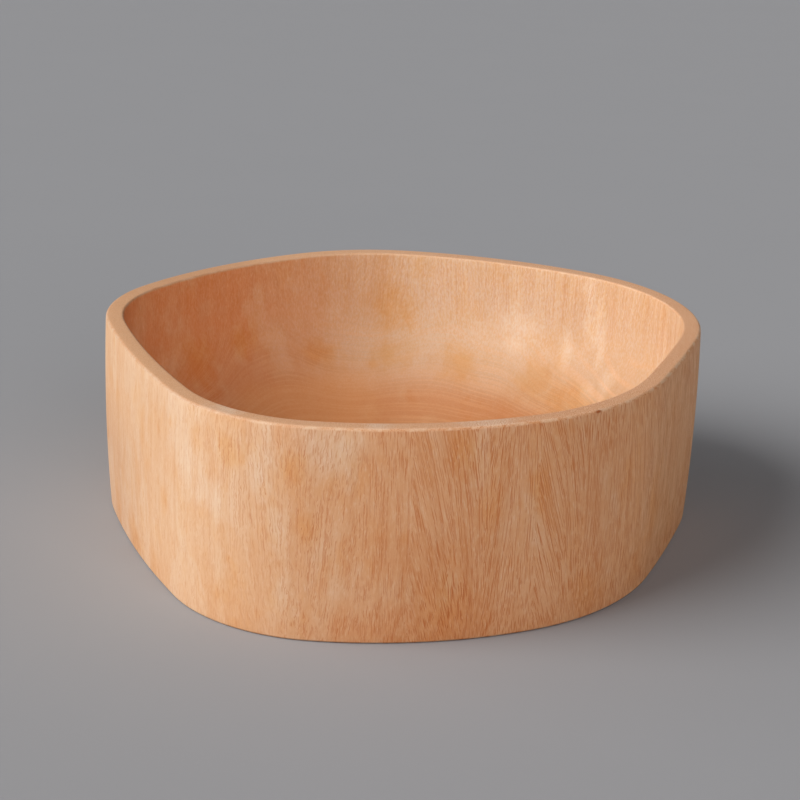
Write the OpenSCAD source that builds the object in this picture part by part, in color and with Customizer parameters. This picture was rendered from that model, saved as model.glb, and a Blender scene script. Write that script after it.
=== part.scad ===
// Carved wooden bowl: one block of wood, hollowed out.
// Its outline is an irregular five-cornered round, with upright walls that
// belly out a little, a flat rim and a wide cove down to a flat floor.

/* [Bowl] */
// Widest size from left to right, at the belly of the wall
bowl_width = 307; // [240:1:400]
// Widest size from front to back, at the belly of the wall
bowl_depth = 307; // [240:1:400]
// Height from the table to the rim
bowl_height = 102; // [80:1:140]

/* [Wall] */
// Mean thickness of the wall at the rim
wall_thickness = 9.4; // [6:0.1:14]
// How far the hollow lies forward of the middle, which leaves the back wall thicker
hollow_shift = 0.9; // [0:0.1:3]
// Height of the wall's widest line
belly_height = 58; // [40:1:70]
// How far the wall draws in from its widest line to the base
base_draw = 1.8; // [0.5:0.1:4]

/* [Edges] */
// Radius that eases the outer edge of the rim
rim_outer_ease = 1.5; // [0.5:0.1:3]
// Radius that eases the inner edge of the rim
rim_inner_ease = 1.2; // [0.5:0.1:3]
// Radius that eases the edge of the base
base_ease = 1.5; // [0.5:0.1:3]

/* [Hollow] */
// Thickness of the floor
floor_thickness = 12; // [6:0.5:25]
// Radius of the cove between the wall and the floor
cove_radius = 60; // [20:1:66]

/* [Smoothness] */
// Flats round each rounded corner
corner_steps = 13; // [6:1:16]
// Flats along each bowed side
side_steps = 9; // [4:1:12]
// Flats down the cove
cove_steps = 12; // [6:1:16]
// Flats above and below the wall's widest line
wall_steps = 3; // [2:1:5]
// Flats round each eased edge
ease_steps = 3; // [2:1:5]

/* [Hidden] */

// The outline is laid out on a square that reaches 1 to each side, then
// stretched to the bowl's width and depth.
// Its five rounded corners, anticlockwise from the right: how far each one is
// pushed to the right and to the back of the square, and its radius.
corner_shares = [
    [1.00, 0.58, 0.69],
    [-0.18, 1.00, 0.68],
    [-1.00, 0.24, 0.55],
    [-0.46, -1.00, 0.55],
    [0.36, -0.78, 0.79],
];
// The radius of the bowed side after each corner
side_shares = [1.6, 1.5, 3.5, 1.3, 6.0];

corners = len(corner_shares);
function next(i) = (i + 1) % corners;
function before(i) = (i + corners - 1) % corners;
function corner_radius(i) = corner_shares[i][2];
function corner_at(i) = (1 - corner_radius(i)) * [corner_shares[i][0], corner_shares[i][1]];

// The line from corner i's centre to the next one's
function chord(i) = corner_at(next(i)) - corner_at(i);
function along(i) = chord(i) / norm(chord(i));
function across(i) = [-along(i)[1], along(i)[0]];

// Centre of the side's circle, which touches both corners from outside: how
// far along that line it stands, and how far inside it
function side_run(i) =
    let (a = side_shares[i] - corner_radius(i))
    let (b = side_shares[i] - corner_radius(next(i)))
    (pow(norm(chord(i)), 2) + pow(a, 2) - pow(b, 2)) / (2 * norm(chord(i)));
function side_rise(i) = sqrt(pow(side_shares[i] - corner_radius(i), 2) - pow(side_run(i), 2));
function side_at(i) = corner_at(i) + side_run(i) * along(i) + side_rise(i) * across(i);

// The headings between which each arc of the outline runs
function heading(from, to) = atan2(to[1] - from[1], to[0] - from[0]);
function turn(from, to) = (to - from + 720) % 360;
function corner_from(i) = heading(side_at(before(i)), corner_at(i));
function side_from(i) = heading(side_at(i), corner_at(i));
function corner_turn(i) = turn(corner_from(i), side_from(i));
function side_turn(i) = turn(side_from(i), corner_from(next(i)));

// Points of an arc, each with the heading it faces
function arc(at, radius, from, angle, steps) = [
    for (s = [0:steps - 1]) let (a = from + angle * s / steps)
        [at + radius * [cos(a), sin(a)], [cos(a), sin(a)]],
];

// The laid-out outline: tangent arcs round the corners and along the sides
layout = [
    for (i = [0:corners - 1]) each concat(
        arc(corner_at(i), corner_radius(i), corner_from(i), corner_turn(i), corner_steps),
        arc(side_at(i), side_shares[i], side_from(i), side_turn(i), side_steps)
    ),
];
low = [for (axis = [0, 1]) min([for (p = layout) p[0][axis]])];
high = [for (axis = [0, 1]) max([for (p = layout) p[0][axis]])];
stretch = [bowl_width / (high[0] - low[0]), bowl_depth / (high[1] - low[1])];

// The bowl's widest line, and the way each of its points faces
widest = [
    for (p = layout)
        [for (axis = [0, 1]) (p[0][axis] - (low[axis] + high[axis]) / 2) * stretch[axis]],
];
facing = [for (p = layout) let (f = [p[1][0] / stretch[0], p[1][1] / stretch[1]]) f / norm(f)];

// The outline drawn in by an inset, at one height
function ring(inset, z, shift) = [
    for (j = [0:len(widest) - 1]) let (p = widest[j] - inset * facing[j])
        [p[0], p[1] - shift, z],
];

// The barrel circle that gives the outer wall its belly
barrel_radius = (pow(belly_height, 2) + pow(base_draw, 2)) / (2 * base_draw);
function barrel_draw(z, radius) =
    barrel_radius - sqrt(pow(radius, 2) - pow(z - belly_height, 2));
rim_draw = barrel_draw(bowl_height, barrel_radius);

// Centres of the eased outer edges, which touch the barrel circle from inside
rim_ease_z = bowl_height - rim_outer_ease;
rim_ease_x = barrel_draw(rim_ease_z, barrel_radius - rim_outer_ease);
base_ease_x = barrel_draw(base_ease, barrel_radius - base_ease);
// The lean of the wall where each eased edge meets it, up from level
rim_lean = asin((rim_ease_z - belly_height) / (barrel_radius - rim_outer_ease));
base_lean = asin((base_ease - belly_height) / (barrel_radius - base_ease));

inner_face = rim_draw + wall_thickness;
// The sharpest bend of the stretched outline, which limits the cove
sharpest = min([for (i = [0:corners - 1]) corner_radius(i)]) * pow(min(stretch), 2) / max(stretch);
cove = min(cove_radius, sharpest - inner_face, bowl_height - floor_thickness - rim_inner_ease);

// Stations of the section, from the base up the wall, over the rim and down
// to the floor: how far in each one lies, and its height
base_stations = [
    for (s = [0:ease_steps]) let (a = -90 + (90 + base_lean) * s / ease_steps)
        [base_ease_x - base_ease * cos(a), base_ease + base_ease * sin(a)],
];
wall_stations = [
    for (a = concat(
        [for (s = [1:wall_steps]) base_lean * (1 - s / wall_steps)],
        [for (s = [1:wall_steps - 1]) rim_lean * s / wall_steps]
    ))
        [barrel_radius * (1 - cos(a)), belly_height + barrel_radius * sin(a)],
];
rim_stations = [
    for (s = [0:ease_steps]) let (a = rim_lean + (90 - rim_lean) * s / ease_steps)
        [rim_ease_x - rim_outer_ease * cos(a), rim_ease_z + rim_outer_ease * sin(a)],
];
lip_stations = [
    for (s = [0:ease_steps]) let (a = 90 * s / ease_steps)
        [
            inner_face - rim_inner_ease * (1 - sin(a)),
            bowl_height - rim_inner_ease * (1 - cos(a)),
        ],
];
cove_stations = [
    for (s = [0:cove_steps]) let (a = 90 * s / cove_steps)
        [inner_face + cove * (1 - cos(a)), floor_thickness + cove * (1 - sin(a))],
];

outer_rings = [for (s = concat(base_stations, wall_stations, rim_stations)) ring(s[0], s[1], 0)];
inner_rings = [for (s = concat(lip_stations, cove_stations)) ring(s[0], s[1], hollow_shift)];
rings = concat(outer_rings, inner_rings);

// A closed skin over rings of equal length, first ring to last, with flat ends
module skin(rings) {
    n = len(rings[0]);
    last = n * (len(rings) - 1);
    polyhedron(
        points = [for (r = rings) each r],
        faces = concat(
            [[for (j = [0:n - 1]) j]],
            [
                for (k = [0:n:last - n], j = [0:n - 1]) let (m = (j + 1) % n)
                    [k + j, k + n + j, k + n + m, k + m],
            ],
            [[for (j = [n - 1:-1:0]) last + j]]
        )
    );
}

module bowl() {
    color("burlywood")
        skin(rings);
}

bowl();
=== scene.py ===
"""The looks of a carved wooden bowl: its smooth body, its wood, and the plain studio round it.

Lengths are in metres in the row frame: +Z up, the base at height 0, the front towards -Y.
"""
import logging
import math
from dataclasses import dataclass
from enum import Enum

import bmesh
import bpy
import numpy as np
from mathutils import Matrix, Vector


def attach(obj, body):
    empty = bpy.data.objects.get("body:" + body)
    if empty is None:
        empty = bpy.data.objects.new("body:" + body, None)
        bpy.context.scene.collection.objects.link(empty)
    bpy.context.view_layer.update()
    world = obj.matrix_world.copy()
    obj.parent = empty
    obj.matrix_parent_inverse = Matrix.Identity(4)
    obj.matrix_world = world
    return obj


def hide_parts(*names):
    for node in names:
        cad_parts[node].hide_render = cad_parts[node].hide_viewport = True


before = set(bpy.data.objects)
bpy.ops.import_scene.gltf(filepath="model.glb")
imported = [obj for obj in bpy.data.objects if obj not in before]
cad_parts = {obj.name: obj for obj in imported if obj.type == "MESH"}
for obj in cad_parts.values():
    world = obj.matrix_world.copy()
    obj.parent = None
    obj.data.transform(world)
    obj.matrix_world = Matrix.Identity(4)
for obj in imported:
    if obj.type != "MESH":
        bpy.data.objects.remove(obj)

LOG = logging.getLogger("bowl")
MM = 0.001
CM3 = 1e-6
SAME_PLACE = 0.00002
NO_LENGTH = 0.000001
Colour = tuple[float, float, float]
Place = tuple[float, float, float]
Span = tuple[float, float]


class Sum(Enum):
    """What a Math node may do with its inputs."""

    ADD = "ADD"
    SUBTRACT = "SUBTRACT"
    MULTIPLY = "MULTIPLY"
    DIVIDE = "DIVIDE"
    POWER = "POWER"
    SQUARE_ROOT = "SQRT"
    SINE = "SINE"
    COSINE = "COSINE"
    ARCSINE = "ARCSINE"
    FLOOR = "FLOOR"
    MODULO = "MODULO"
    ABSOLUTE = "ABSOLUTE"
    MAXIMUM = "MAXIMUM"
    LESS_THAN = "LESS_THAN"


class VectorSum(Enum):
    """What a Vector Math node may do with its inputs."""

    SUBTRACT = "SUBTRACT"
    MULTIPLY = "MULTIPLY"
    MULTIPLY_ADD = "MULTIPLY_ADD"
    DOT = "DOT_PRODUCT"
    LENGTH = "LENGTH"


class Field:
    """A node's output that can stand in a sum, so that a formula reads as one."""

    def __init__(self, graph: "Graph", socket: bpy.types.NodeSocket) -> None:
        """Keeps the socket and the graph that holds it."""
        self.graph = graph
        self.socket = socket

    def __add__(self, other: "Field | float") -> "Field":
        """This plus another."""
        return self.graph.sum(Sum.ADD, self, other)

    def __radd__(self, other: float) -> "Field":
        """A number plus this."""
        return self.graph.sum(Sum.ADD, other, self)

    def __sub__(self, other: "Field | float") -> "Field":
        """This less another."""
        return self.graph.sum(Sum.SUBTRACT, self, other)

    def __rsub__(self, other: float) -> "Field":
        """A number less this."""
        return self.graph.sum(Sum.SUBTRACT, other, self)

    def __mul__(self, other: "Field | float") -> "Field":
        """This times another."""
        return self.graph.sum(Sum.MULTIPLY, self, other)

    def __rmul__(self, other: float) -> "Field":
        """A number times this."""
        return self.graph.sum(Sum.MULTIPLY, other, self)

    def __truediv__(self, other: "Field | float") -> "Field":
        """This over another."""
        return self.graph.sum(Sum.DIVIDE, self, other)

    def __pow__(self, other: float) -> "Field":
        """This to a power."""
        return self.graph.sum(Sum.POWER, self, other)


class Graph:
    """Adds nodes to one node tree and links them."""

    def __init__(self, tree: bpy.types.NodeTree) -> None:
        """Takes a tree and empties it."""
        self.tree = tree
        tree.nodes.clear()

    def put(self, socket: bpy.types.NodeSocket, value: "Field | float | tuple | None") -> None:
        """Sets an input to a plain value, or links a field to it.

        Args:
            socket: The input.
            value: A field, a plain value, or None to leave the input alone.
        """
        if isinstance(value, Field):
            self.tree.links.new(value.socket, socket)
        elif value is not None:
            socket.default_value = value

    def node(self, kind: str, inputs: dict | None = None, **settings: object) -> bpy.types.Node:
        """Adds a node.

        Args:
            kind: The node's type name.
            inputs: Values or fields by input name or index.
            **settings: The node's own properties.

        Returns:
            The new node.
        """
        made = self.tree.nodes.new(kind)
        for name, value in settings.items():
            setattr(made, name, value)
        for key, value in (inputs or {}).items():
            self.put(made.inputs[key], value)
        return made

    def out(self, made: bpy.types.Node, key: str | int = 0) -> Field:
        """A node's output as a field."""
        return Field(self, made.outputs[key])

    def sum(self, what: Sum, *values: "Field | float", clamp: bool = False) -> Field:
        """One Math node, whose result may be kept between 0 and 1."""
        inputs = dict(enumerate(values))
        return self.out(self.node("ShaderNodeMath", inputs, operation=what.value, use_clamp=clamp))

    def vector(self, what: VectorSum, *values: "Field | Place") -> Field:
        """One Vector Math node, whose result is a number for a dot product or a length."""
        made = self.node("ShaderNodeVectorMath", dict(enumerate(values)), operation=what.value)
        return self.out(made, "Value" if what in (VectorSum.DOT, VectorSum.LENGTH) else 0)

    def length(self, x: Field, y: Field) -> Field:
        """How long a line is that runs so far one way and so far the other."""
        return self.sum(Sum.SQUARE_ROOT, x * x + y * y)

    def split(self, vector: Field) -> tuple[Field, Field, Field]:
        """The three parts of a vector."""
        parts = self.node("ShaderNodeSeparateXYZ", {0: vector})
        return self.out(parts, 0), self.out(parts, 1), self.out(parts, 2)

    def join(self, x: "Field | float", y: "Field | float", z: "Field | float") -> Field:
        """A vector from three numbers."""
        return self.out(self.node("ShaderNodeCombineXYZ", {0: x, 1: y, 2: z}))

    def ramp(self, value: Field, low: float, high: float) -> Field:
        """Rises smoothly from 0 to 1.

        Args:
            value: What it follows.
            low: Where it is 0.
            high: Where it is 1, which may be below low.

        Returns:
            How far the value has got.
        """
        falling = low > high
        made = self.node(
            "ShaderNodeMapRange",
            {
                "Value": value,
                "From Min": min(low, high),
                "From Max": max(low, high),
                "To Min": 1.0 if falling else 0.0,
                "To Max": 0.0 if falling else 1.0,
            },
            interpolation_type="SMOOTHSTEP",
        )
        return self.out(made)

    def noise(
        self,
        at: Field,
        size: Place,
        detail: float = 2.0,
        roughness: float = 0.5,
        seed: float = 0.0,
    ) -> Field:
        """Smooth three-way noise around 0.5.

        Args:
            at: Where, as a vector.
            size: How far the noise reaches along each axis, in the same unit as at.
            detail: How many finer layers it has.
            roughness: How strong the finer layers are.
            seed: Moves the pattern, so that two noises differ.

        Returns:
            The noise.
        """
        scale, moved = tuple(1 / s for s in size), (seed, -2.3 * seed, 1.7 * seed)
        made = self.node(
            "ShaderNodeTexNoise",
            {
                "Vector": self.vector(VectorSum.MULTIPLY_ADD, at, scale, moved),
                "Scale": 1.0,
                "Detail": detail,
                "Roughness": roughness,
            },
            noise_dimensions="3D",
        )
        return self.out(made, 0)

    def blend(self, share: "Field | float", a: "Field | Colour", b: "Field | Colour") -> Field:
        """Goes from colour a to colour b.

        Args:
            share: How much of b, from 0 to 1.
            a: The first colour.
            b: The second colour.

        Returns:
            The mixed colour.
        """
        made = self.node("ShaderNodeMix", {0: share}, data_type="RGBA")
        for key, value in ((6, a), (7, b)):
            self.put(made.inputs[key], value if isinstance(value, Field) else (*value, 1.0))
        return self.out(made, 2)

    def tint(self, share: Field, colour: Field, by: Colour) -> Field:
        """Multiplies a colour by another as far as share says.

        Args:
            share: How much of the tint, from 0 to 1.
            colour: The colour to change.
            by: What it is multiplied by at full share.

        Returns:
            The tinted colour.
        """
        inputs = {0: share, 6: colour, 7: (*by, 1.0)}
        made = self.node("ShaderNodeMix", inputs, data_type="RGBA", blend_type="MULTIPLY")
        return self.out(made, 2)


@dataclass(frozen=True)
class Mark:
    """A soft-edged place in the wood, tall along the grain, where its look changes a little."""

    at: Place
    reach: float
    tall: float = 1.6


@dataclass(frozen=True)
class Fan:
    """A ribbon of wood whose fibres lean away from upright, with a sudden edge."""

    at: tuple[float, float]
    reach: float
    slope: float


@dataclass(frozen=True)
class Spot:
    """A shaded point: where it lies, and from 0 to 1 how far it is in each part of the bowl.

    The places across, back and up follow the grain. The wall is the outer one, bared wood slopes
    a little and carved wood much, sanded wood is smooth, and combed wood shows its fibres.
    """

    at: Field
    grain: Field
    across: Field
    back: Field
    up: Field
    edge: Field
    hollow: Field
    wall: Field
    rim: Field
    bared: Field
    carved: Field
    sanded: Field
    combed: Field


@dataclass(frozen=True)
class CarvedWood:
    """Pale open-pored wood with the trunk's axis upright, sanded and lightly oiled.

    Sizes inside are in millimetres. The pattern is solid, so the fibres run up the walls, and
    their ends show on the rim and in the cove.
    """

    pale: Colour = (0.830, 0.520, 0.310)
    warm: Colour = (0.790, 0.410, 0.212)
    cream: Colour = (0.880, 0.640, 0.450)
    sap: Colour = (0.808, 0.618, 0.452)
    bright: Colour = (0.945, 0.800, 0.655)
    amber: Colour = (0.880, 0.480, 0.238)
    left_shade_tint: Colour = (1, 0.86, 0.78)
    ring_line: Colour = (0.900, 0.560, 0.330)
    ring_tint: Colour = (0.90, 0.78, 0.66)
    cove_shade_tint: Colour = (0.80, 0.69, 0.58)
    mottle_tint: Colour = (0.96, 0.83, 0.63)
    contact_shade_tint: Colour = (0.50, 0.38, 0.30)
    pore: Colour = (0.600, 0.190, 0.058)
    rim_wood: Colour = (0.875, 0.530, 0.330)
    rim_and_shade_tint: Colour = (0.72, 0.66, 0.66)
    patch_tint: Colour = (0.97, 0.80, 0.53)
    wear_and_highlight: Colour = (0.900, 0.640, 0.430)
    nick: Colour = (0.430, 0.120, 0.035)
    band: Span = (5, -115)
    sap_at: tuple[float, float] = (105, 108)
    sap_reach: Span = (215, 90)
    sap_wander: float = 60
    middle_at: tuple[float, float] = (42, 134)
    middle_reach: Span = (72, 20)
    pith: tuple[float, float] = (-3, 12)
    heart_reach: Span = (125, 103)
    bulge: Mark = Mark((-74, 106, 48), 44)
    bulge_push: float = 5
    ring_sway: float = 9
    ring_crowding: tuple[tuple[Span, float], ...] = (((104, 132), 34), ((120, 134), 30))
    ring_layers: tuple[tuple[float, float, float], ...] = ((5.5, 2, 0), (4.4, 0, 17))
    ring_roughness: float = 0.6
    pore_layers: tuple[tuple[float, float, float, float], ...] = (
        (0.624, 0.25, 6, 21),
        (1.014, 0.18, 14, 25),
    )
    pore_scatter: float = 0.6
    pore_blur: float = 0.08
    pore_width: float = 0.9
    short_reach: float = 0.6
    short_seed: float = 7
    pore_border: tuple[float, float] = (-103, 99)
    pore_border_lean: float = 0.55
    mid_height: float = 50
    axis_gap: float = 1
    lean: float = 0.18
    fan_edge: float = 8
    mark_edge: float = 1.7
    mark_span: Span = (1.25, 0.1)
    relief: tuple[float, float, float, float] = (0.12, 0.15, 0.8, 0.15)
    bump_strength: float = 0.5
    bump_depth: float = 0.00025
    roughness: float = 0.44
    specular: float = 0.22
    ior: float = 1.48
    fans: tuple[Fan, ...] = (
        Fan((72, -129), 12, 0.12), Fan((67, -131), 7, 0.14),
        Fan((22, -147), 17, 0.12), Fan((14, -149), 9, 0.10),
        Fan((42, -143), 8, -0.08), Fan((-30, -153), 12, -0.10),
        Fan((-60, -149), 9, 0.10), Fan((112, -93), 9, 0.08),
        Fan((-12, 143), 12, 0.12), Fan((30, 138), 14, -0.12),
        Fan((-76, 122), 16, -0.14), Fan((106, 100), 9, 0.12),
        Fan((130, 80), 14, 0.10), Fan((146, 20), 18, 0.14),
        Fan((-148, 10), 16, -0.14), Fan((0, 153), 7, 0.14),
        Fan((-40, 148), 9, -0.16),
    )
    deep_marks: tuple[Mark, ...] = (
        Mark((-45, -151, 82), 7), Mark((-40, -152, 55), 6),
        Mark((27, -147, 92), 9), Mark((40, -144, 62), 7, 2),
        Mark((62, -135, 72), 7, 2.4), Mark((86, -119, 14), 13, 1.2),
        Mark((21, -148, 15), 14, 2), Mark((-128, -62, 8), 14, 1),
        Mark((122, -77, 42), 9, 2.6), Mark((-74, -140, 84), 8, 1.2),
        Mark((-9, 142, 70), 17, 1), Mark((76, 109, 40), 15, 1),
        Mark((89, 95, 32), 14, 0.9), Mark((97, 92, 34), 12, 0.9),
        Mark((-50, 126, 46), 17, 0.5), Mark((-11, 131, 43), 15, 0.8),
        Mark((34, 127, 42), 17, 0.8), Mark((-90, 100, 60), 12, 1),
        Mark((-113, 77, 53), 16, 1.3),
    )
    light_marks: tuple[Mark, ...] = (
        Mark((64, 123, 57), 9, 0.8), Mark((66, 123, 68), 14, 0.9),
        Mark((104, 104, 88), 4, 5), Mark((107, 102, 78), 9, 2),
        Mark((110, 97, 66), 4, 5), Mark((114, 86, 46), 7, 1.6),
        Mark((92, 109, 58), 6, 2.4), Mark((104, 91, 40), 6, 1.4),
        Mark((-104, -114, 92), 11, 2), Mark((-94, -125, 76), 9, 1.6),
        Mark((-82, -136, 62), 13, 0.9), Mark((-60, -146, 80), 6, 3),
        Mark((-34, -152, 94), 15, 1.2), Mark((34, -146, 88), 8, 2.4),
    )
    rim_highlight_marks: tuple[Mark, ...] = (
        Mark((37, -139, 102), 17),
        Mark((-76, -131, 102), 12),
        Mark((-10, -148, 102), 8),
    )
    nick_at: Place = (86.9, -118.1, 101.3)
    nick_axes: tuple[tuple[Place, float], ...] = (
        ((0.772, 0.635, 0), 2.4),
        ((0.635, -0.772, 0), 0.9),
        ((0, 0, 1), 0.9),
    )
    nick_span: Span = (1.15, 0.25)

    def material(self) -> bpy.types.Material:
        """Builds the wood.

        Returns:
            The finished material.
        """
        made = bpy.data.materials.new("carved_wood")
        made.use_nodes = True
        g = Graph(made.node_tree)
        spot = self.spot(g)
        fibre = g.noise(spot.grain, (0.5, 0.5, 4.2), 2, 0.7, seed=5)
        speckle = g.noise(spot.at, (0.55, 0.55, 0.55), 1, seed=53)
        pores, darkness = self.pores(g, spot.grain)
        radius = self.radius(g, spot.at)
        heart = g.ramp(radius, *self.heart_reach) * spot.carved
        patch = g.ramp(g.noise(spot.grain, (7, 7, 13), 1, 0.5, seed=11), 0.60, 0.82)
        marks = self.marks(g, spot.at, self.deep_marks)
        deep = g.sum(Sum.ADD, patch * (0.6 - 0.48 * spot.hollow), marks, clamp=True)

        colour = self.ground(g, spot, heart)
        colour = self.carving(g, spot, radius, heart, colour)
        colour = g.tint(deep * (0.60 + 0.25 * spot.hollow), colour, self.patch_tint)
        high = spot.hollow * g.ramp(spot.up, 74, 100)
        colour = g.tint(high * 0.16, colour, self.patch_tint)
        colour = self.end_grain(g, spot, speckle, colour)
        colour = self.fibres(g, spot, fibre, colour)
        darkness = (darkness + 0.25 * deep) * (1 - 0.40 * g.ramp(spot.back, 0, 100))
        darkness = darkness * (1 - spot.sanded)
        colour = g.blend(pores * darkness * (1 - 0.25 * spot.hollow), colour, self.pore)
        # Edge wear and painted highlight: the eased edges turn pale in patches.
        rubbed_and_highlight = spot.edge * g.ramp(g.noise(spot.at, (7, 7, 7), 3, 0.6, seed=41), 0.42, 0.60)
        colour = g.blend(rubbed_and_highlight * (0.55 - 0.45 * spot.hollow), colour, self.wear_and_highlight)
        colour = self.wall_tones(g, spot, colour)
        colour = g.blend(self.nick_mask(g, spot.at), colour, self.nick)

        tooled = g.noise(spot.at, (16, 16, 16), 1, 0.5, seed=51)
        fine, sunk, wavy, cut = self.relief
        relief = fibre * fine - pores * sunk + tooled * wavy + spot.rim * cut * speckle
        bump = g.node(
            "ShaderNodeBump",
            {"Strength": self.bump_strength, "Distance": self.bump_depth, "Height": relief},
        )
        rough = self.roughness + fibre * 0.10 + pores * 0.15 + spot.rim * 0.12 - rubbed_and_highlight * 0.18
        shader = g.node(
            "ShaderNodeBsdfPrincipled",
            {"Base Color": colour, "Roughness": rough, "Normal": g.out(bump)},
        )
        shader.inputs["Specular IOR Level"].default_value = self.specular
        shader.inputs["IOR"].default_value = self.ior
        g.node("ShaderNodeOutputMaterial", {"Surface": g.out(shader)})
        return made

    def spot(self, g: Graph) -> Spot:
        """Reads where a shaded point lies.

        Args:
            g: The graph.

        Returns:
            The point.
        """
        here = g.out(g.node("ShaderNodeTexCoord"), "Object")
        at = g.vector(VectorSum.MULTIPLY, here, (1 / MM, 1 / MM, 1 / MM))
        _, _, up = g.split(at)
        _, _, level = g.split(g.out(g.node("ShaderNodeNewGeometry"), "Normal"))
        slant = g.sum(Sum.ABSOLUTE, level)
        hollow = g.out(g.node("ShaderNodeAttribute", attribute_name="hollow"), "Fac")
        grain = self.grain(g, at)
        across, back, _ = g.split(grain)
        sanded = hollow * (0.85 - 0.70 * g.ramp(up, 58, 90))
        return Spot(
            at,
            grain,
            across,
            back,
            up,
            edge=g.out(g.node("ShaderNodeAttribute", attribute_name="wear_and_highlight"), "Fac"),
            hollow=hollow,
            wall=1 - hollow,
            rim=g.ramp(slant, 0.6, 0.95) * g.ramp(up, 96, 101),
            bared=g.ramp(slant, 0.02, 0.22) * hollow,
            carved=g.ramp(slant, 0.12, 0.50) * hollow,
            sanded=sanded,
            combed=(1 - sanded) * (0.65 + 0.35 * g.ramp(across, -110, 0)),
        )

    def ground(self, g: Graph, spot: Spot, heart: Field) -> Field:
        """Lays the wood's broad tones: the pale band, the sapwood, and soft clouds and flames, with
        the left of the hollow tinted redder as painted shade.

        Args:
            g: The graph.
            spot: The point.
            heart: How near the heart of the trunk it grew.

        Returns:
            The colour.
        """
        left, back = self.sapwood(g, spot.across, spot.back)
        colour = g.blend(left * spot.wall, self.warm, self.pale)
        share = 0.45 + 0.45 * spot.hollow - 0.75 * heart
        colour = g.blend(back * share, colour, self.sap)
        # Painted shade: the left of the hollow is tinted redder, as its warm shade looks.
        left_shade = g.ramp(spot.across, -20, -110) * spot.hollow
        colour = g.tint(left_shade, colour, self.left_shade_tint)
        cloud = g.ramp(g.noise(spot.grain, (20, 20, 34), 2, 0.5, seed=9.2), 0.46, 0.70)
        colour = g.blend(cloud * 0.38, colour, self.cream)
        right = g.ramp(spot.across, 85, 140) * spot.wall
        colour = g.blend(right * 0.80, colour, self.amber)
        apart = g.length(spot.across - self.middle_at[0], spot.back - self.middle_at[1])
        middle = g.ramp(apart, *self.middle_reach) * spot.hollow
        colour = g.blend(middle * (1 - 0.6 * spot.carved) * 0.28, colour, self.bright)
        flame = g.ramp(g.noise(spot.grain, (17, 17, 44), 1, 0.5, seed=77), 0.49, 0.54)
        colour = g.blend(flame * left * spot.wall * 0.40, colour, self.cream)
        light = self.marks(g, spot.at, self.light_marks) * (0.26 + 0.40 * spot.hollow)
        colour = g.blend(light, colour, self.bright)
        honey = g.ramp(g.noise(spot.grain, (15, 15, 28), 3, 0.6, seed=13.4), 0.48, 0.72)
        colour = g.tint(honey * 0.40, colour, self.patch_tint)
        ribbon = g.ramp(g.noise(spot.grain, (4.5, 4.5, 160), 1, 0.5, seed=6.5), 0.56, 0.34)
        return g.tint(ribbon * spot.combed * 0.45, colour, self.ring_tint)

    def carving(self, g: Graph, spot: Spot, radius: Field, heart: Field, colour: Field) -> Field:
        """Colours what carving lays bare: the growth rings, the heart and the cove, and paints
        shade low on the left of the hollow, in the right of the cove and at the far right.

        Args:
            g: The graph.
            spot: The point.
            radius: Its distance from the heart of the trunk.
            heart: How near the heart it grew.
            colour: The wood's colour there.

        Returns:
            The colour with that on it.
        """
        tone, line = self.rings(g, radius)
        colour = g.tint(tone * spot.bared * 0.38, colour, self.ring_tint)
        # Painted shade: the low left of the hollow is blended to amber, the colour of its warm
        # shade.
        start, end = g.ramp(spot.across, 0, -34), g.ramp(spot.across, -104, -84)
        shaded = start * end * g.ramp(spot.up, 42, 28)
        colour = g.blend(shaded * spot.carved * 0.70, colour, self.amber)
        colour = g.tint(heart * (0.74 - 0.24 * shaded), colour, self.ring_tint)
        colour = g.tint(spot.carved * g.ramp(spot.up, 34, 14) * 0.22, colour, self.patch_tint)
        # Painted shade: the cove darkens towards its right and its bottom.
        cove = spot.carved * g.ramp(spot.up, 70, 25) * g.ramp(spot.across, -5, 90)
        colour = g.tint(cove, colour, self.cove_shade_tint)
        # Painted shade: a darker patch low on the far right wall of the hollow.
        far = g.ramp(spot.across, 92, 125) * g.ramp(spot.up, 76, 50) * spot.hollow
        colour = g.tint(far * 0.42, colour, self.cove_shade_tint)
        worked = g.ramp(g.noise(spot.at, (24, 24, 24), 2, 0.5, seed=91), 0.30, 0.72)
        faded = 1 - 0.35 * g.ramp(spot.up, 44, 22)
        drawn = line * spot.bared * (0.09 + 0.24 * worked) * faded
        return g.blend(drawn, colour, self.ring_line)

    def end_grain(self, g: Graph, spot: Spot, speckle: Field, colour: Field) -> Field:
        """Colours the rim, where the fibres are cut across, with painted highlight as pale marks on
        its front.

        Args:
            g: The graph.
            spot: The point.
            speckle: A fine noise, as of cut fibres.
            colour: The wood's colour there.

        Returns:
            The colour with that on it.
        """
        colour = g.blend(spot.rim * 0.85, colour, self.rim_wood)
        left = g.ramp(spot.across, 10, -110)
        colour = g.tint(spot.rim * left * 0.30, colour, self.patch_tint)
        # Painted highlight: pale marks on the front of the rim.
        marks = self.marks(g, spot.at, self.rim_highlight_marks)
        colour = g.blend(spot.rim * marks * 0.40, colour, self.bright)
        back_left = g.ramp(spot.across, -70, -105) * g.ramp(spot.back, 10, 75)
        colour = g.tint(spot.rim * back_left * 0.42, colour, self.rim_and_shade_tint)
        darker = g.sum(Sum.MULTIPLY, spot.rim, 0.05 + 1.2 * (speckle - 0.5), clamp=True)
        return g.tint(darker, colour, self.rim_and_shade_tint)

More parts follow.
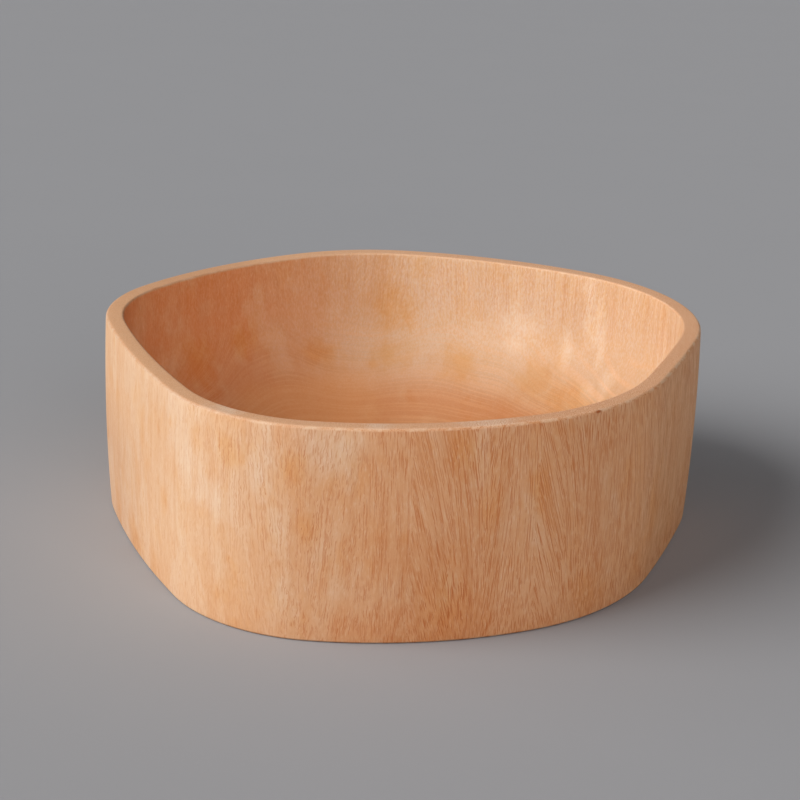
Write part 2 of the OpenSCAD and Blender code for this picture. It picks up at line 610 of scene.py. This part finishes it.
    def fibres(self, g: Graph, spot: Spot, fibre: Field, colour: Field) -> Field:
        """Colours the single fibres, and a fine mottle between them.

        Args:
            g: The graph.
            spot: The point.
            fibre: A noise that runs along the fibres.
            colour: The wood's colour there.

        Returns:
            The colour with that on it.
        """
        dark = g.ramp(fibre, 0.58, 0.34) * spot.combed
        colour = g.tint(dark * 0.38, colour, self.ring_tint)
        pale = g.ramp(fibre, 0.52, 0.72) * spot.combed * (0.36 + 0.20 * spot.hollow)
        colour = g.blend(pale, colour, self.cream)
        mottle = g.ramp(g.noise(spot.grain, (0.8, 0.8, 2.3), 2, 0.6, seed=43), 0.64, 0.36)
        share = 0.16 + 0.62 * spot.hollow * (1 - 0.5 * spot.carved)
        return g.tint(mottle * share, colour, self.mottle_tint)

    def wall_tones(self, g: Graph, spot: Spot, colour: Field) -> Field:
        """Deepens the tone at the foot and the belly of the wall, and paints shade: on the outer
        edge at the left, on the left flank, and as a contact shadow along the base.

        Args:
            g: The graph.
            spot: The point.
            colour: The wood's colour there.

        Returns:
            The colour with that on it.
        """
        # Painted shade: the outer edge on the left, which faces the light, is darkened.
        painted_edge_shade = spot.edge * spot.wall * g.ramp(spot.up, 92, 99)
        painted_edge_shade = painted_edge_shade * g.ramp(spot.across, -20, -100)
        colour = g.tint(painted_edge_shade * 0.50, colour, self.rim_and_shade_tint)
        foot = g.ramp(spot.up, 30, 2) * spot.wall
        foot = foot * (0.75 + 0.25 * g.ramp(spot.across, -70, 10))
        colour = g.tint(foot * 0.44, colour, self.ring_tint)
        belly = g.ramp(spot.across, -24, 10) * g.ramp(spot.across, 52, 22)
        belly = belly * g.ramp(spot.up, 62, 42)
        colour = g.tint(belly * spot.wall * 0.55, colour, self.ring_tint)
        # Painted shade: the lower left flank of the wall is darkened.
        painted_flank_shade = g.ramp(spot.across, -112, -140) * g.ramp(spot.up, 85, 35) * spot.wall
        colour = g.tint(painted_flank_shade * 0.42, colour, self.rim_and_shade_tint)
        # Painted contact shadow: a thin dark line along the base, where the bowl meets the floor.
        return g.tint(g.ramp(spot.up, 1.4, 0.2) * 0.6, colour, self.contact_shade_tint)

    def grain(self, g: Graph, at: Field) -> Field:
        """Lays out the interlocked grain, which leans one way and then the other across the block.

        Args:
            g: The graph.
            at: Place in the bowl.

        Returns:
            Place along the fibres, which are upright there.
        """
        x, y, z = g.split(at)
        out = g.length(x, y) + self.axis_gap
        lean = (g.noise(at, (30, 30, 500), 1, seed=3.1) - 0.5) * self.lean
        ragged = (g.noise(at, (3, 3, 16), 2, 0.6, seed=2.2) - 0.5) * self.fan_edge
        for fan in self.fans:
            apart = g.length(x - fan.at[0], y - fan.at[1])
            lean = lean + g.sum(Sum.LESS_THAN, apart + ragged, fan.reach) * fan.slope
        curl = 0.7 + 1.6 * g.sum(Sum.MAXIMUM, g.ramp(x, 15, -45), g.ramp(y, 0, 60))
        sway = (g.noise(at, (3, 3, 6), 2, 0.6, seed=1.3) - 0.5) * curl
        slid = (lean * (z - self.mid_height) + sway) / out
        return g.join(x - y * slid, y + x * slid, z)

    def marks(self, g: Graph, at: Field, places: tuple[Mark, ...]) -> Field:
        """Soft marks at chosen places, with ragged edges.

        Args:
            g: The graph.
            at: Place in the bowl.
            places: The marks.

        Returns:
            How strong the nearest mark is, from 0 to 1.
        """
        ragged = (g.noise(at, (8, 8, 13), 3, 0.62, seed=71) - 0.5) * self.mark_edge
        found = None
        for mark in places:
            away = g.vector(VectorSum.SUBTRACT, at, mark.at)
            scale = (1 / mark.reach, 1 / mark.reach, 1 / (mark.reach * mark.tall))
            apart = g.vector(VectorSum.LENGTH, g.vector(VectorSum.MULTIPLY, away, scale))
            near = g.ramp(apart + ragged, *self.mark_span)
            found = near if found is None else g.sum(Sum.MAXIMUM, found, near)
        return found

    def sapwood(self, g: Graph, across: Field, back: Field) -> tuple[Field, Field]:
        """The paler wood that lay nearest the bark.

        Args:
            g: The graph.
            across: Sideways place along the grain.
            back: Front-to-back place along the grain.

        Returns:
            How pale a point is for the band on the left, and for the one at the right back.
        """
        flat = g.join(across, back, 0)
        wander = (g.noise(flat, (45, 45, 45), 2, seed=61) - 0.5) * self.sap_wander
        apart = g.length(across - self.sap_at[0], back - self.sap_at[1])
        return g.ramp(across + wander, *self.band), g.ramp(apart + wander, *self.sap_reach)

    def pores(self, g: Graph, grain: Field) -> tuple[Field, Field]:
        """The open pores: long thin tubes, seen as upright dashes on a wall and as dots on the rim.

        Args:
            g: The graph.
            grain: Place along the leaning grain.

        Returns:
            How deep in a pore a point lies, and how dark the pores are thereabouts.
        """
        across, _, up = g.split(grain)
        curly = g.ramp(across, 40, -30)
        found = None
        for spacing, bore, reach, seed in self.pore_layers:
            scale, moved = (1 / spacing, 1 / spacing, 0), (seed, seed, 0)
            inputs = {
                "Vector": g.vector(VectorSum.MULTIPLY_ADD, grain, scale, moved),
                "Scale": 1,
                "Randomness": self.pore_scatter,
            }
            cells = g.node("ShaderNodeTexVoronoi", inputs, voronoi_dimensions="2D")
            tube = g.ramp(g.out(cells, "Distance"), bore + self.pore_blur, bore - self.pore_blur)
            size = (self.pore_width, self.pore_width, reach)
            long = g.ramp(g.noise(grain, size, 1, seed=seed), 0.38, 0.46)
            size = (self.pore_width, self.pore_width, self.short_reach * reach)
            noise = g.noise(grain, size, 1, seed=seed + self.short_seed)
            drawn = tube * (long + curly * (g.ramp(noise, 0.42, 0.50) - long))
            found = drawn if found is None else g.sum(Sum.MAXIMUM, found, drawn)
        beyond = across + self.pore_border_lean * (up - self.pore_border[1]) - self.pore_border[0]
        side = g.ramp(beyond, -6, 18) * 0.16 + g.ramp(across, -60, 40) * 0.22
        side = side + g.ramp(across, 95, 135) * 0.12
        area = g.ramp(g.noise(grain, (16, 16, 30), 2, seed=23), 0.34, 0.64)
        return found, 0.28 + side + g.ramp(across, -110, 60) * 0.30 * area

    def radius(self, g: Graph, at: Field) -> Field:
        """How far out from the heart of the trunk a point grew, in the rings' own wavy measure.

        Args:
            g: The graph.
            at: Place in the bowl.

        Returns:
            The distance from the heart, which stands near the bowl's middle.
        """
        x, y, _ = g.split(at)
        warp = (g.noise(at, (50, 50, 60), 1, 0.4, seed=31) - 0.5) * self.ring_sway
        apart = g.length(x - self.bulge.at[0], y - self.bulge.at[1])
        pushed = g.ramp(apart, self.bulge.reach, 0) * self.bulge_push
        return g.length(x - self.pith[0], y - self.pith[1]) + warp - pushed

    def rings(self, g: Graph, radius: Field) -> tuple[Field, Field]:
        """The growth rings.

        Args:
            g: The graph.
            radius: Distance from the heart of the trunk.

        Returns:
            The soft tone of the rings, and the thin pale lines between them.
        """
        grown = radius
        for span, more in self.ring_crowding:
            grown = grown + g.ramp(radius, *span) * more
        found = []
        for spacing, detail, shift in self.ring_layers:
            inputs = {
                "W": grown / spacing + shift,
                "Scale": 1,
                "Detail": detail,
                "Roughness": self.ring_roughness,
            }
            found.append(g.out(g.node("ShaderNodeTexNoise", inputs, noise_dimensions="1D")))
        tone, fine = found
        return tone, g.ramp(g.sum(Sum.ABSOLUTE, fine - 0.5), 0.12, 0.01)

    def nick_mask(self, g: Graph, at: Field) -> Field:
        """A small dark nick in the rim's outer edge, drawn out along the edge.

        Args:
            g: The graph.
            at: Place in the bowl.

        Returns:
            How deep in the nick a point is, from 0 to 1.
        """
        away = g.vector(VectorSum.SUBTRACT, at, self.nick_at)
        along = []
        for heading, half in self.nick_axes:
            axis = tuple(part / half for part in heading)
            along.append(g.vector(VectorSum.DOT, away, axis))
        return g.ramp(g.vector(VectorSum.LENGTH, g.join(*along)), *self.nick_span)


@dataclass(frozen=True)
class PlainStudio:
    """The pale matt finish of the studio's floor."""

    colour: Colour = (0.388, 0.391, 0.411)
    roughness: float = 0.9
    specular: float = 0.2
    mottle: Place = (0.09, 0.09, 0.09)
    mottle_share: float = 0.12
    mottle_shade: float = 0.8

    def material(self) -> bpy.types.Material:
        """Builds the floor's finish.

        Returns:
            The finished material.
        """
        made = bpy.data.materials.new("studio_floor")
        made.use_nodes = True
        g = Graph(made.node_tree)
        at = g.out(g.node("ShaderNodeTexCoord"), "Object")
        tone = g.noise(at, self.mottle, 3.0, 0.6, seed=2.0)
        darker = tuple(self.mottle_shade * c for c in self.colour)
        shade = g.blend(tone * self.mottle_share, self.colour, darker)
        shader = g.node("ShaderNodeBsdfPrincipled", {"Base Color": shade})
        shader.inputs["Roughness"].default_value = self.roughness
        shader.inputs["Specular IOR Level"].default_value = self.specular
        g.node("ShaderNodeOutputMaterial", {"Surface": g.out(shader)})
        return made


@dataclass(frozen=True)
class Corner:
    """One rounded corner of the laid-out outline, on a square that reaches 1 to each side."""

    across: float
    back: float
    radius: float
    side_radius: float

    @property
    def centre(self) -> np.ndarray:
        """Where the corner's circle stands."""
        return (1 - self.radius) * np.array([self.across, self.back])


@dataclass
class Outline:
    """The wall's widest line: tangent arcs round five corners and along the sides between them."""

    width: float = 0.307
    depth: float = 0.307
    corners: tuple[Corner, ...] = (
        Corner(1.00, 0.58, 0.69, 1.6),
        Corner(-0.18, 1.00, 0.68, 1.5),
        Corner(-1.00, 0.24, 0.55, 3.5),
        Corner(-0.46, -1.00, 0.55, 1.3),
        Corner(0.36, -0.78, 0.79, 6.0),
    )
    corner_steps: int = 30
    side_steps: int = 22

    def side_centre(self, i: int) -> np.ndarray:
        """Centre of the circle that touches a corner and the next one from outside.

        Args:
            i: The corner's number.

        Returns:
            The centre.
        """
        a, b = self.corners[i], self.corners[(i + 1) % len(self.corners)]
        chord = b.centre - a.centre
        gap = float(np.hypot(*chord))
        along = chord / gap
        near, far = a.side_radius - a.radius, a.side_radius - b.radius
        run = (gap**2 + near**2 - far**2) / (2 * gap)
        rise = math.sqrt(near**2 - run**2)
        return a.centre + run * along + rise * np.array([-along[1], along[0]])

    def arcs(self) -> list[tuple[np.ndarray, float, float, float, int]]:
        """Lays the arcs end to end.

        Returns:
            Each arc's centre, radius, first heading, angle and steps, in turn.
        """

        def heading(a: np.ndarray, b: np.ndarray) -> float:
            """The way from one place to another, as an angle."""
            return math.atan2(b[1] - a[1], b[0] - a[0])

        n = len(self.corners)
        sides = [self.side_centre(i) for i in range(n)]
        found = []
        for i, corner in enumerate(self.corners):
            first = heading(sides[i - 1], corner.centre)
            middle = heading(sides[i], corner.centre)
            last = heading(sides[i], self.corners[(i + 1) % n].centre)
            angle = (middle - first) % math.tau
            found.append((corner.centre, corner.radius, first, angle, self.corner_steps))
            angle = (last - middle) % math.tau
            found.append((sides[i], corner.side_radius, middle, angle, self.side_steps))
        return found

    def points(self) -> tuple[np.ndarray, np.ndarray]:
        """Walks round the outline.

        Returns:
            The points in metres, and the way each one faces.
        """
        places, facing = [], []
        for centre, radius, first, angle, steps in self.arcs():
            for s in range(steps):
                a = first + angle * s / steps
                way = np.array([math.cos(a), math.sin(a)])
                places.append(centre + radius * way)
                facing.append(way)
        p, f = np.array(places), np.array(facing)
        low, high = p.min(0), p.max(0)
        stretch = np.array([self.width, self.depth]) / (high - low)
        f = f / stretch
        return (p - (low + high) / 2) * stretch, f / np.linalg.norm(f, axis=1)[:, None]

    def mesh(self) -> bpy.types.Mesh:
        """Puts the outline into a mesh.

        Returns:
            Loose points that carry the way they face.
        """
        places, facing = self.points()
        made = bpy.data.meshes.new("outline")
        made.from_pydata([(x, y, 0.0) for x, y in places], [], [])
        way = made.attributes.new("facing", "FLOAT_VECTOR", "POINT")
        level = np.column_stack([facing, np.zeros(len(facing))])
        way.data.foreach_set("vector", level.astype(np.float32).ravel())
        return made


@dataclass
class BowlBody:
    """The bowl itself: one section swept round the outline, closed over the base and the floor."""

    finish: CarvedWood
    outline: Outline
    height: float = 0.102
    wall_thickness: float = 0.0094
    hollow_shift: float = 0.0009
    belly_height: float = 0.058
    base_draw: float = 0.0018
    rim_outer_ease: float = 0.0015
    rim_inner_ease: float = 0.0012
    base_ease: float = 0.0015
    floor_thickness: float = 0.012
    cove_radius: float = 0.060
    unevenness: float = 0.0003
    wave_scale: float = 22.0
    seed: float = 4.0

    SIZES = (
        "height", "wall_thickness", "hollow_shift", "belly_height", "base_draw", "rim_outer_ease",
        "rim_inner_ease", "base_ease", "floor_thickness", "cove_radius", "unevenness", "seed",
    )
    RUNS = {
        "base": 10, "base_arc": 5, "belly": 14, "rim_arc": 6, "rim": 4, "lip_arc": 6, "wall": 6,
        "cove": 26, "floor": 10,
    }

    def tree(self) -> bpy.types.NodeTree:
        """Builds the node tree that sweeps the section round the outline.

        The section is walked from the base's middle, up the wall, over the rim and down to the
        floor's middle, as a chain of straight runs and arcs. Each has its own steps, and every
        station adds up how far each run has got.

        Returns:
            The tree, with one input for each size.
        """
        tree = bpy.data.node_groups.new("sweep_section", "GeometryNodeTree")
        face = tree.interface
        face.new_socket("Geometry", in_out="INPUT", socket_type="NodeSocketGeometry")
        for name in self.SIZES:
            face.new_socket(name, in_out="INPUT", socket_type="NodeSocketFloat")
        face.new_socket("wood", in_out="INPUT", socket_type="NodeSocketMaterial")
        face.new_socket("Geometry", in_out="OUTPUT", socket_type="NodeSocketGeometry")
        g = Graph(tree)
        given = g.node("NodeGroupInput")
        size = {name: g.out(given, name) for name in self.SIZES}

        stations = 1 + sum(self.RUNS.values())
        around = len(self.outline.points()[0])
        grid = g.node("GeometryNodeMeshGrid", {"Vertices X": around + 1, "Vertices Y": stations})
        index = g.out(g.node("GeometryNodeInputIndex"))
        column = g.sum(Sum.FLOOR, (index + 0.5) / float(stations))
        station = index - column * float(stations)
        column = g.sum(Sum.MODULO, column, float(around))
        share: dict[str, Field] = {}
        first = 0
        for name, steps in self.RUNS.items():
            share[name] = g.sum(Sum.DIVIDE, station - float(first), float(steps), clamp=True)
            first += steps

        inset, z = self.section(g, size, share)
        spread = share["base"] * (1.0 - share["floor"])
        shift = size["hollow_shift"] * share["rim"]

        sampled = []
        whole = g.out(g.node("FunctionNodeFloatToInt", {0: column}, rounding_mode="ROUND"))
        for kind in (g.out(g.node("GeometryNodeInputPosition")), self.facing(g)):
            sample = g.node(
                "GeometryNodeSampleIndex",
                {"Geometry": g.out(given, "Geometry"), "Value": kind},
                data_type="FLOAT_VECTOR",
                domain="POINT",
            )
            g.put(sample.inputs["Index"], whole)
            sampled.append(g.split(g.out(sample)))
        (px, py, _), (fx, fy, _) = sampled
        raw = g.join(px, py, z)
        hand = g.node(
            "ShaderNodeTexNoise",
            {"Vector": raw, "W": size["seed"], "Scale": self.wave_scale, "Detail": 1.0},
            noise_dimensions="4D",
        )
        inward = inset + size["unevenness"] * g.out(hand, 0) * (1.0 - 2.0 * share["rim"]) * spread
        place = g.join((px - fx * inward) * spread, (py - fy * inward) * spread - shift, z)

        made = g.node("GeometryNodeSetPosition", {"Geometry": g.out(grid), "Position": place})
        for name, value in (("wear_and_highlight", self.edges(share)), ("hollow", share["lip_arc"])):
            made = g.node(
                "GeometryNodeStoreNamedAttribute",
                {"Geometry": g.out(made), "Name": name, "Value": value},
                data_type="FLOAT",
                domain="POINT",
            )
        for kind, inputs in (
            ("GeometryNodeMergeByDistance", {"Distance": SAME_PLACE}),
            ("GeometryNodeSetShadeSmooth", {}),
            ("GeometryNodeRealizeInstances", {}),
            ("GeometryNodeSetMaterial", {"Material": g.out(given, "wood")}),
            ("NodeGroupOutput", {}),
        ):
            made = g.node(kind, {"Geometry": g.out(made), **inputs})
        return tree

    @staticmethod
    def facing(g: Graph) -> Field:
        """The way an outline point faces."""
        kind = "GeometryNodeInputNamedAttribute"
        return g.out(g.node(kind, {"Name": "facing"}, data_type="FLOAT_VECTOR"))

    @staticmethod
    def edges(share: dict[str, Field]) -> Field:
        """Finds the eased edges, where hands and tables rub the bowl and where highlight and shade
        are painted.

        Args:
            share: How far each run has got, from 0 to 1, by name.

        Returns:
            A field that is 1 halfway round each eased edge and 0 elsewhere.
        """
        found = 0.0
        for name in ("base_arc", "rim_arc", "lip_arc"):
            found = found + 4.0 * share[name] * (1.0 - share[name])
        return found

    def section(
        self, g: Graph, size: dict[str, Field], share: dict[str, Field]
    ) -> tuple[Field, Field]:
        """The bowl's section as sums of its runs.

        Args:
            g: The tree's graph.
            size: The sizes by name.
            share: How far each run has got, from 0 to 1, by name.

        Returns:
            How far in from the widest line each station lies, and its height.
        """

        def sin(angle: Field) -> Field:
            """An angle's sine."""
            return g.sum(Sum.SINE, angle)

        def cos(angle: Field) -> Field:
            """An angle's cosine."""
            return g.sum(Sum.COSINE, angle)

        quarter = math.pi / 2
        belly, draw, top = size["belly_height"], size["base_draw"], size["height"]
        barrel = (belly**2 + draw**2) / (2.0 * draw)

        def lean(z: Field, ease: Field) -> Field:
            """How far the wall leans from upright where an eased edge meets it."""
            return g.sum(Sum.ARCSINE, (z - belly) / (barrel - ease))

        base_lean = lean(size["base_ease"], size["base_ease"])
        rim_lean = lean(top - size["rim_outer_ease"], size["rim_outer_ease"])
        rim_draw = barrel - g.sum(Sum.SQUARE_ROOT, barrel**2 - (top - belly) ** 2)
        face = rim_draw + size["wall_thickness"]
        base_x = barrel - (barrel - size["base_ease"]) * cos(base_lean)
        rim_x = barrel - (barrel - size["rim_outer_ease"]) * cos(rim_lean)

        total_x, total_z = base_x, 0.0 * belly

        def arc(
            name: str, radius: Field, start: "Field | float", end: "Field | float"
        ) -> None:
            """Adds an arc.

            Args:
                name: The run's name.
                radius: The arc's radius.
                start: Its first angle, measured from straight out.
                end: Its last angle.
            """
            nonlocal total_x, total_z
            swept = start + share[name] * (end - start)
            begin = start if isinstance(start, Field) else 0.0 * radius + start
            total_x = total_x + radius * (cos(begin) - cos(swept))
            total_z = total_z + radius * (sin(swept) - sin(begin))

        def straight(name: str, x: "Field | float", z: "Field | float") -> None:
            """Adds a straight run.

            Args:
                name: The run's name.
                x: How far it goes inwards.
                z: How far it goes up.
            """
            nonlocal total_x, total_z
            total_x = total_x + share[name] * x
            total_z = total_z + share[name] * z

        arc("base_arc", size["base_ease"], -quarter, base_lean)
        arc("belly", barrel, base_lean, rim_lean)
        arc("rim_arc", size["rim_outer_ease"], rim_lean, quarter)
        straight("rim", face - size["rim_inner_ease"] - rim_x, 0.0)
        lip = size["rim_inner_ease"]
        total_x = total_x + lip * sin(share["lip_arc"] * quarter)
        total_z = total_z - lip * (1.0 - cos(share["lip_arc"] * quarter))
        straight("wall", 0.0, size["floor_thickness"] + size["cove_radius"] - top + lip)
        cove = size["cove_radius"]
        total_x = total_x + cove * (1.0 - cos(share["cove"] * quarter))
        total_z = total_z - cove * sin(share["cove"] * quarter)
        return total_x, total_z

    def build(self) -> bpy.types.Object:
        """Makes the bowl as one plain closed mesh.

        Returns:
            The finished object, with its wood on it.
        """
        holder = bpy.data.objects.new("outline", self.outline.mesh())
        bpy.context.scene.collection.objects.link(holder)
        tree = self.tree()
        sweep = holder.modifiers.new("sweep", "NODES")
        sweep.node_group = tree
        sockets = [item for item in tree.interface.items_tree if item.in_out == "INPUT"]
        ids = {socket.name: socket.identifier for socket in sockets}
        for name in self.SIZES:
            sweep[ids[name]] = getattr(self, name)
        wood = self.finish.material()
        sweep[ids["wood"]] = wood
        bpy.context.view_layer.update()
        evaluated = holder.evaluated_get(bpy.context.evaluated_depsgraph_get())
        mesh = bpy.data.meshes.new_from_object(evaluated)
        bpy.data.objects.remove(holder)
        mesh.name = "carved_bowl"
        self.close(mesh)
        if not mesh.materials:
            mesh.materials.append(wood)
        piece = bpy.data.objects.new("carved_bowl", mesh)
        bpy.context.scene.collection.objects.link(piece)
        return piece

    @staticmethod
    def close(mesh: bpy.types.Mesh) -> None:
        """Welds what is left open and turns every face outwards.

        Args:
            mesh: The mesh, which is changed in place.
        """
        shell = bmesh.new()
        shell.from_mesh(mesh)
        bmesh.ops.remove_doubles(shell, verts=shell.verts, dist=SAME_PLACE)
        bmesh.ops.dissolve_degenerate(shell, edges=shell.edges, dist=NO_LENGTH)
        bmesh.ops.recalc_face_normals(shell, faces=shell.faces)
        if shell.calc_volume(signed=True) < 0:
            bmesh.ops.reverse_faces(shell, faces=shell.faces)
        open_edges = sum(1 for e in shell.edges if len(e.link_faces) != 2)
        volume = shell.calc_volume() / CM3
        LOG.info(
            "%s: %d faces, %d open edges, %.0f cm3", mesh.name, len(shell.faces), open_edges, volume
        )
        shell.to_mesh(mesh)
        shell.free()

    def dress(self, piece: bpy.types.Object) -> None:
        """Ties the bowl to the body it stands for.

        Args:
            piece: The finished bowl.
        """
        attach(piece, "root")
        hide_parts("bowl")


@dataclass
class SoftLight:
    """One large soft light a long way off, so that it lights the whole floor alike."""

    name: str
    comes_from: Place
    spread: float
    power: float
    colour: Colour = (1.0, 1.0, 1.0)

    def build(self) -> bpy.types.Object:
        """Hangs the light, turned to shine from its direction.

        Returns:
            The light.
        """
        lamp = bpy.data.lights.new(self.name, "SUN")
        lamp.angle = math.radians(self.spread)
        lamp.energy = self.power
        lamp.color = self.colour
        made = bpy.data.objects.new(self.name, lamp)
        made.location = self.comes_from
        made.rotation_euler = Vector(self.comes_from).to_track_quat("Z", "Y").to_euler()
        bpy.context.scene.collection.objects.link(made)
        return made


@dataclass
class Studio:
    """The floor, the lights and the camera."""

    finish: PlainStudio
    floor_reach: float = 7.0
    ambient: float = 0.08
    sky_colour: Colour = (0.93, 0.95, 1.0)
    sight: float = 50.0
    lens: float = 81.45
    sensor: float = 36.0
    pitch: float = 19.256
    roll: float = -1.886
    target: Place = (-0.00113, 0.0, 0.0624)
    distance: float = 0.92544
    lights: tuple[SoftLight, ...] = (
        SoftLight("key", (-2.28, -0.83, 1.76), 46.0, 2.50, (1.0, 0.99, 0.97)),
        SoftLight("side", (-2.89, 0.51, 0.62), 42.0, 0.82, (1.0, 0.99, 0.97)),
        SoftLight("fill", (0.95, -2.61, 1.12), 52.0, 1.22, (1.0, 0.98, 0.96)),
    )

    def floor(self) -> bpy.types.Object:
        """Lays the plain floor, which isn't part of the bowl.

        Returns:
            The floor.
        """
        r = self.floor_reach
        mesh = bpy.data.meshes.new("floor")
        mesh.from_pydata([(-r, -r, 0), (r, -r, 0), (r, r, 0), (-r, r, 0)], [], [(0, 1, 2, 3)])
        mesh.materials.append(self.finish.material())
        made = bpy.data.objects.new("floor", mesh)
        bpy.context.scene.collection.objects.link(made)
        return made

    def sky(self) -> None:
        """Sets the even light that comes from all round."""
        world = bpy.data.worlds.new("studio")
        world.use_nodes = True
        g = Graph(world.node_tree)
        inputs = {"Color": (*self.sky_colour, 1.0), "Strength": self.ambient}
        glow = g.node("ShaderNodeBackground", inputs)
        g.node("ShaderNodeOutputWorld", {"Surface": g.out(glow)})
        bpy.context.scene.world = world

    def camera(self) -> bpy.types.Object:
        """Sets the camera at the photograph's viewing angle.

        Returns:
            The camera.
        """
        lens = bpy.data.cameras.new("camera")
        lens.sensor_width = self.sensor
        lens.lens = self.lens
        lens.clip_end = self.sight
        made = bpy.data.objects.new("camera", lens)
        pitch, roll = math.radians(self.pitch), math.radians(self.roll)
        ahead = Vector((0.0, math.cos(pitch), -math.sin(pitch)))
        right, down = Vector((1.0, 0.0, 0.0)), Vector((0.0, -math.sin(pitch), -math.cos(pitch)))
        across = math.cos(roll) * right + math.sin(roll) * down
        below = -math.sin(roll) * right + math.cos(roll) * down
        turned = Matrix((across, -below, -ahead)).transposed().to_4x4()
        made.matrix_world = Matrix.Translation(Vector(self.target) - self.distance * ahead) @ turned
        bpy.context.scene.collection.objects.link(made)
        bpy.context.scene.camera = made
        return made

    def build(self) -> None:
        """Makes the floor, the sky, the lights and the camera."""
        self.floor()
        self.sky()
        for light in self.lights:
            light.build()
        self.camera()
        bpy.context.scene.view_settings.view_transform = "Standard"


def main() -> None:
    """Builds the studio and the bowl."""
    logging.basicConfig(level=logging.INFO, format="%(name)s: %(message)s")
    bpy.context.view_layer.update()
    Studio(PlainStudio()).build()
    LOG.info("studio: floor, lights and camera")
    body = BowlBody(CarvedWood(), Outline())
    piece = body.build()
    body.dress(piece)
    LOG.info("bowl: swept body with carved wood")


if __name__ == "__main__":
    main()
